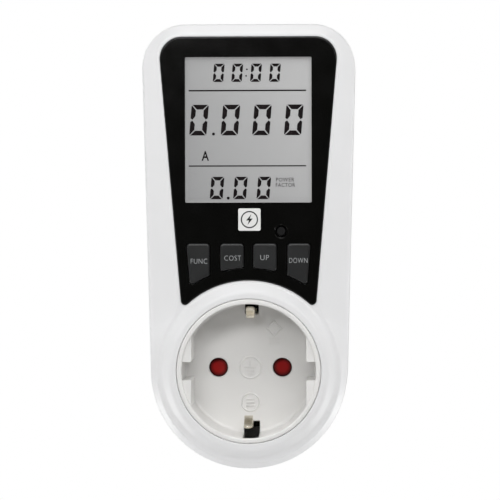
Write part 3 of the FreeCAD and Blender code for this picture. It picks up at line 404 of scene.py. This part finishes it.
def bar_outline(x0, x1, z0, z1, corner=0.0, steps=4):
    """A rectangle, with rounded corners if corner is set."""
    if corner <= 0:
        return [(x0, z0), (x1, z0), (x1, z1), (x0, z1)]
    points = []
    for cx, cz, start in ((x1 - corner, z0 + corner, -90), (x1 - corner, z1 - corner, 0),
                          (x0 + corner, z1 - corner, 90), (x0 + corner, z0 + corner, 180)):
        for i in range(steps + 1):
            turn = math.radians(start + 90 * i / steps)
            points.append((cx + corner * math.cos(turn), cz + corner * math.sin(turn)))
    return points


def ring(bm, x, z, profile, steps=72):
    """Revolve a closed (radius, y) profile about an axis along Y through (x, z)."""
    loops = []
    for i in range(steps):
        turn = 2 * math.pi * i / steps
        loops.append([bm.verts.new((x + r * math.cos(turn), y, z + r * math.sin(turn)))
                      for r, y in profile])
    count = len(profile)
    for i in range(steps):
        a, b = loops[i], loops[(i + 1) % steps]
        for j in range(count):
            k = (j + 1) % count
            bm.faces.new((a[j], b[j], b[k], a[k]))


def domed(inner, outer, back, front, steps=6):
    """A raised ring's profile: a half-round rib from level back out to level front."""
    middle, half = (inner + outer) / 2, (outer - inner) / 2
    return [(middle - half * math.cos(math.pi * i / steps),
             back + (front - back) * math.sin(math.pi * i / steps)) for i in range(steps + 1)]


def text_mesh(name, words, width, height, middle, thickness, offset, spacing):
    """Words as a closed thin mesh that faces -Y, fitted to a width and a height about middle."""
    curve = bpy.data.curves.new(name, "FONT")
    curve.body = words
    curve.extrude = 0.5
    curve.resolution_u = 6
    curve.offset = offset
    curve.space_character = spacing
    holder = bpy.data.objects.new(name, curve)
    bpy.context.scene.collection.objects.link(holder)
    bpy.context.view_layer.update()
    evaluated = holder.evaluated_get(bpy.context.evaluated_depsgraph_get())
    mesh = bpy.data.meshes.new_from_object(evaluated)
    bpy.data.objects.remove(holder)
    bpy.data.curves.remove(curve)
    low = Vector(min(v.co[i] for v in mesh.vertices) for i in range(3))
    high = Vector(max(v.co[i] for v in mesh.vertices) for i in range(3))
    size = high - low
    for v in mesh.vertices:
        share = [(v.co[i] - low[i]) / size[i] for i in range(3)]
        v.co = (middle.x + (share[0] - 0.5) * width,
                middle.y - share[2] * thickness,
                middle.z + (share[1] - 0.5) * height)
    bm = bmesh.new()
    bm.from_mesh(mesh)
    bmesh.ops.remove_doubles(bm, verts=bm.verts, dist=1e-7)
    bpy.data.meshes.remove(mesh)
    return mesh_from(name, bm)


# ---------------------------------------------------------------- the display's figures

SLANT = math.tan(math.radians(4.8))


def zero_outlines(width, height, stroke, gap):
    """The six segments of an upright 0, about its lower left corner, with mitred ends."""
    w, h, t, g = width, height, stroke, gap
    start, mid = 0.9 * g, h / 2
    tip = 0.42 * t

    def mirror_x(points):
        return [(w - x, z) for x, z in points]

    def mirror_z(points):
        return [(x, h - z) for x, z in points]

    top = [(start, h), (w - start, h), (w - start - t, h - t), (start + t, h - t)]
    side = [(0.0, h - 0.9 * start - 0.2 * t), (0.12 * t, h - 0.85 * start), (t, h - t - start),
            (t, mid + 0.85 * t), (tip, mid + 0.5 * g), (0.0, mid + 0.5 * g + 0.3 * t)]
    return [top, mirror_x(side), mirror_x(mirror_z(side)), mirror_z(top), mirror_z(side), side]


def zero_figure(bm, middle_x, middle_z, height, stroke, width, gap, back, front):
    """One slanted 0 of the display about a middle point."""
    for outline in zero_outlines(width, height, stroke, gap):
        placed = [(middle_x - width / 2 + x + (z - height / 2) * SLANT,
                   middle_z - height / 2 + z) for x, z in outline]
        raise_outline(bm, placed, back, front)


def display_figures():
    """All that the display shows: three rows of figures, two rules, dots and unit names."""
    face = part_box("lcd_glass")[0].y
    back, front = face - 0.005 * MM, face - 0.035 * MM
    middle = (window_low + window_high) / 2

    def at(x, z):
        return middle.x + x * MM, middle.z + z * MM

    rows = (
        ("clock", (-8.6, -3.2, 2.25, 7.75), 16.6, 5.3, 0.86, 3.05, 0.20),
        ("reading", (-14.35, -5.2, 3.95, 13.2), 2.9, 8.9, 1.36, 5.0, 0.28),
        ("factor", (-9.15, -2.35, 4.45), -16.85, 6.5, 1.04, 3.75, 0.24),
    )
    for name, places, z, height, stroke, width, gap in rows:
        bm = bmesh.new()
        for x in places:
            zero_figure(bm, *at(x, z), height * MM, stroke * MM, width * MM, gap * MM, back, front)
        piece("figures_" + name, mesh_from("figures_" + name, bm), ink, "root")
    bm = bmesh.new()
    for x, z, radius in ((-0.4, 17.6, 0.25), (-0.62, 15.7, 0.25), (-10.15, -1.15, 0.43),
                         (-5.9, -19.8, 0.43)):
        raise_outline(bm, disc_outline(*at(x, z), radius * MM), back, front)
    piece("figure_points", mesh_from("figure_points", bm), ink, "root")
    bm = bmesh.new()
    for z, thick in ((11.45, 0.42), (-10.45, 0.36)):
        (x0, z0), (x1, z1) = at(-17.35, z - thick / 2), at(16.8, z + thick / 2)
        raise_outline(bm, bar_outline(x0, x1, z0, z1, 0.1 * MM), back, front)
    piece("display_rules", mesh_from("display_rules", bm), ink, "root")
    for name, words, x, z, width, height, weight in (
            ("unit_ampere", "A", -12.55, -7.50, 2.15, 2.85, 0.018),
            ("unit_power", "POWER", 10.65, -14.45, 5.3, 1.12, 0.004),
            ("unit_factor", "FACTOR", 10.75, -16.0, 5.6, 1.12, 0.004)):
        where = Vector((*at(x, z), 0)).xzy
        where.y = back
        mesh = text_mesh(name, words, width * MM, height * MM, where, back - front, weight, 1.15)
        piece(name, mesh, ink, "root")


display_figures()


# ---------------------------------------------------------------- key legends and badge

def key_legends():
    """A printed word on each key. Each rides with its key."""
    for node, words, shift, down, width in (
            ("function", "FUNC", 0.25, 5.70, 4.8), ("cost", "COST", 0.22, 4.80, 4.85),
            ("up", "UP", -0.05, 4.66, 2.5), ("down", "DOWN", -0.12, 5.50, 5.3)):
        low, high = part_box("key_" + node)
        where = Vector(((low.x + high.x) / 2 + shift * MM, low.y - 0.002 * MM, high.z - down * MM))
        mesh = text_mesh("legend_" + node, words, width * MM, 1.42 * MM, where, 0.03 * MM,
                         -0.016, 1.1)
        piece("legend_" + node, mesh, legend_ink, "key_" + node + "_body")


def badge_symbol():
    """A plain bolt in a ring, printed on the badge plate."""
    low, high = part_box("badge_plate")
    x, z = (low.x + high.x) / 2, (low.z + high.z) / 2
    back, front = low.y - 0.002 * MM, low.y - 0.03 * MM
    bm = bmesh.new()
    inner, outer = 2.15 * MM, 2.5 * MM
    ring(bm, x, z, [(inner, back), (inner, front), (outer, front), (outer, back)])
    bolt = ((0.55, 1.55), (-0.95, -0.25), (-0.12, -0.25), (-0.55, -1.55), (0.95, 0.3), (0.1, 0.3))
    raise_outline(bm, [(x + px * MM, z + pz * MM) for px, pz in bolt], back, front)
    piece("badge_symbol", mesh_from("badge_symbol", bm), badge_ink, "root")


key_legends()
badge_symbol()


# ---------------------------------------------------------------- marks moulded in the recess

def recess_floor():
    """The level of the recess floor, from the opening in the record that ends just above it."""
    opening = frame["record"]["physics"]["openings"][0]
    return opening["box_m"][1][1] + 0.1 * MM


def earth_mark(bm, x, z, size, line, back, front):
    """An earth sign in a ring: a stem and three bars that get shorter."""
    ring(bm, x, z, domed(size - 1.5 * line, size, back, front))
    slope = 0.15 * line
    stem = bar_outline(x - line / 2, x + line / 2, z + 0.05 * size + line / 2, z + 0.62 * size)
    raise_outline(bm, stem, back, front, slope)
    for level, half in ((0.05, 0.58), (-0.23, 0.40), (-0.51, 0.22)):
        middle = z + level * size
        bar = bar_outline(x - half * size, x + half * size, middle - line / 2, middle + line / 2,
                          0.3 * line)
        raise_outline(bm, bar, back, front, slope)


def socket_marks():
    """Faint signs moulded on the recess floor: earth, three bars in a ring, and a diamond."""
    floor = recess_floor()
    back, front = floor + 0.02 * MM, floor - 0.28 * MM
    bm = bmesh.new()
    earth_mark(bm, 0.0, 0.0, 3.5 * MM, 0.44 * MM, back, front)
    low_z, radius = -10.35 * MM, 2.9 * MM
    ring(bm, 0.0, low_z, domed(radius - 0.5 * MM, radius, back, front))
    diamond_x, diamond_z = 7.1 * MM, 11.6 * MM
    ring(bm, diamond_x, diamond_z, domed(1.9 * MM, 2.5 * MM, back, front), 4)
    bars = [(0.0, low_z + z * MM, 1.3) for z in (1.0, 0.0, -1.0)]
    bars += [(diamond_x, diamond_z - z * MM, 1.5) for z in (3.3, 4.4)]
    for x, z, half in bars:
        raise_outline(bm, bar_outline(x - half * MM, x + half * MM, z - 0.2 * MM, z + 0.2 * MM,
                                      0.1 * MM), back, front, 0.05 * MM)
    made = piece("socket_marks", mesh_from("socket_marks", bm), surfaces["socket_white"], "root")
    made.data.shade_smooth()
    made.data.set_sharp_from_angle(angle=math.radians(40))


socket_marks()


# ---------------------------------------------------------------- printing on the rear label

def label_print():
    """A frame, ruled lines and an earth sign, with no words."""
    low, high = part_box("rating_label")
    back, front = high.y - 0.01 * MM, high.y + 0.02 * MM
    bm = bmesh.new()
    inset, line = 1.2 * MM, 0.14 * MM
    x0, x1, z0, z1 = low.x + inset, high.x - inset, low.z + inset, high.z - inset
    for bar in ((x0, x1, z0, z0 + line), (x0, x1, z1 - line, z1),
                (x0, x0 + line, z0 + line, z1 - line), (x1 - line, x1, z0 + line, z1 - line)):
        raise_outline(bm, bar_outline(*bar), back, front)
    tall = z1 - z0
    for share in (0.78, 0.56, 0.34):
        level = z0 + share * tall
        raise_outline(bm, bar_outline(x0 + 2 * MM, x1 - 2 * MM, level, level + line), back, front)
    for share, ends in ((0.90, 0.72), (0.84, 0.5), (0.69, 0.8), (0.63, 0.62), (0.47, 0.55)):
        level = z0 + share * tall
        raise_outline(bm, bar_outline(x1 - 2 * MM - ends * (x1 - x0 - 4 * MM), x1 - 2 * MM,
                                      level - 0.45 * MM, level + 0.45 * MM, 0.2 * MM), back, front)
    earth_mark(bm, (x0 + x1) / 2, z0 + 0.17 * tall, 4.2 * MM, 0.3 * MM, back, front)
    piece("label_print", mesh_from("label_print", bm), label_ink, "root")


label_print()


# ---------------------------------------------------------------- studio

def softbox(name, place, target, size, power):
    """A rectangular soft light at place, which faces target."""
    light = bpy.data.lights.new(name, "AREA")
    light.shape = "RECTANGLE"
    light.size, light.size_y = size
    light.energy = power
    made = bpy.data.objects.new(name, light)
    made.location = place
    made.rotation_euler = (Vector(target) - Vector(place)).to_track_quat("-Z", "Y").to_euler()
    bpy.context.scene.collection.objects.link(made)


# Each light's name, place, size and power.
LIGHTS = (
    ("key", (-0.25, -1.0, 0.34), (0.34, 0.20), 2.05),
    ("upper", (0.28, -0.92, 0.46), (0.8, 0.22), 3.0),
    ("near_top", (0.0, -0.42, 0.48), (0.6, 0.16), 0.92),
    ("top", (0.0, -0.30, 1.05), (0.9, 0.6), 3.3),
    ("left", (-1.05, -0.50, 0.10), (0.5, 1.1), 2.3),
    ("right", (1.05, -0.50, 0.10), (0.5, 1.1), 1.3),
    ("back_left", (-0.8, 0.9, 0.6), (0.8, 0.8), 3.6),
    ("back_right", (0.9, 0.8, 0.3), (0.8, 0.8), 3.0),
    ("low_left", (-0.60, 0.08, -0.34), (0.5, 0.3), 2.4),
    ("low_right", (0.60, 0.08, -0.34), (0.5, 0.3), 2.6),
)
ROOM_LIGHT = 0.04
FLOOR_GLOW = 0.45
FLOOR_HALF = 1.6
FLOOR_DROP = 0.42


def background():
    """White where the camera sees it, and a faint even light on everything else."""
    world = bpy.data.worlds.new("studio")
    bpy.context.scene.world = world
    world.use_nodes = True
    tree = world.node_tree
    seen = tree.nodes["Background"]
    lit = tree.nodes.new("ShaderNodeBackground")
    for node, strength in ((seen, 1.0), (lit, ROOM_LIGHT)):
        node.inputs["Color"].default_value = (1.0, 1.0, 1.0, 1.0)
        node.inputs["Strength"].default_value = strength
    path = tree.nodes.new("ShaderNodeLightPath")
    mix = tree.nodes.new("ShaderNodeMixShader")
    tree.links.new(path.outputs["Is Camera Ray"], mix.inputs[0])
    tree.links.new(lit.outputs[0], mix.inputs[1])
    tree.links.new(seen.outputs[0], mix.inputs[2])
    tree.links.new(mix.outputs[0], tree.nodes["World Output"].inputs["Surface"])


def paper_floor():
    """A pale floor well below the part. Its glow is for the camera only and lights nothing."""
    bm = bmesh.new()
    bmesh.ops.create_grid(bm, x_segments=8, y_segments=8, size=FLOOR_HALF)
    bmesh.ops.translate(bm, verts=bm.verts, vec=(0.0, -0.2, cad_low.z - FLOOR_DROP))
    floor = bpy.data.objects.new("floor", mesh_from("floor", bm))
    paper, shader = new_material("studio_paper", Base_Color=srgb(240, 240, 240),
                                 Emission_Color=(1.0, 1.0, 1.0, 1.0))
    drift = blend_colour(paper, spread(paper, noise(paper, 60.0), 0.0, 1.0),
                         srgb(241, 241, 241), srgb(237, 237, 237))
    paper.node_tree.links.new(drift, shader.inputs["Base Color"])
    shader.inputs["Roughness"].default_value = 0.9
    seen = add(paper, "ShaderNodeLightPath").outputs["Is Camera Ray"]
    glow = product(paper, seen, FLOOR_GLOW)
    paper.node_tree.links.new(glow, shader.inputs["Emission Strength"])
    floor.data.materials.append(paper)
    bpy.context.scene.collection.objects.link(floor)


def studio():
    """Soft lights round the part, a white background and a pale floor."""
    middle = (cad_low + cad_high) / 2
    for name, place, size, power in LIGHTS:
        softbox(name, place, middle, size, power)
    background()
    paper_floor()


CAMERA_AIM = (0.5 * MM, 35.2 * MM)
CAMERA_DISTANCE = 0.640
CAMERA_LENS = 159.2
CAMERA_SIDE = 1.8
CAMERA_UP = 0.85
CAMERA_ROLL = -0.12


def camera():
    """A long lens in front, about two degrees to the right of the socket's axis and one above."""
    aim = Vector((CAMERA_AIM[0], cad_low.y, CAMERA_AIM[1]))
    side, up = math.radians(CAMERA_SIDE), math.radians(CAMERA_UP)
    back = Vector((math.sin(side) * math.cos(up), -math.cos(side) * math.cos(up), math.sin(up)))
    data = bpy.data.cameras.new("camera")
    data.sensor_width = 36.0
    data.lens = CAMERA_LENS
    data.clip_start, data.clip_end = 0.01, 20.0
    made = bpy.data.objects.new("camera", data)
    made.location = aim + back * CAMERA_DISTANCE
    turn = (-back).to_track_quat("-Z", "Y").to_matrix().to_4x4()
    roll = Matrix.Rotation(math.radians(CAMERA_ROLL), 4, "Z")
    made.rotation_euler = (turn @ roll).to_euler()
    bpy.context.scene.collection.objects.link(made)
    bpy.context.scene.camera = made


studio()
camera()
bpy.context.scene.view_settings.view_transform = "Standard"
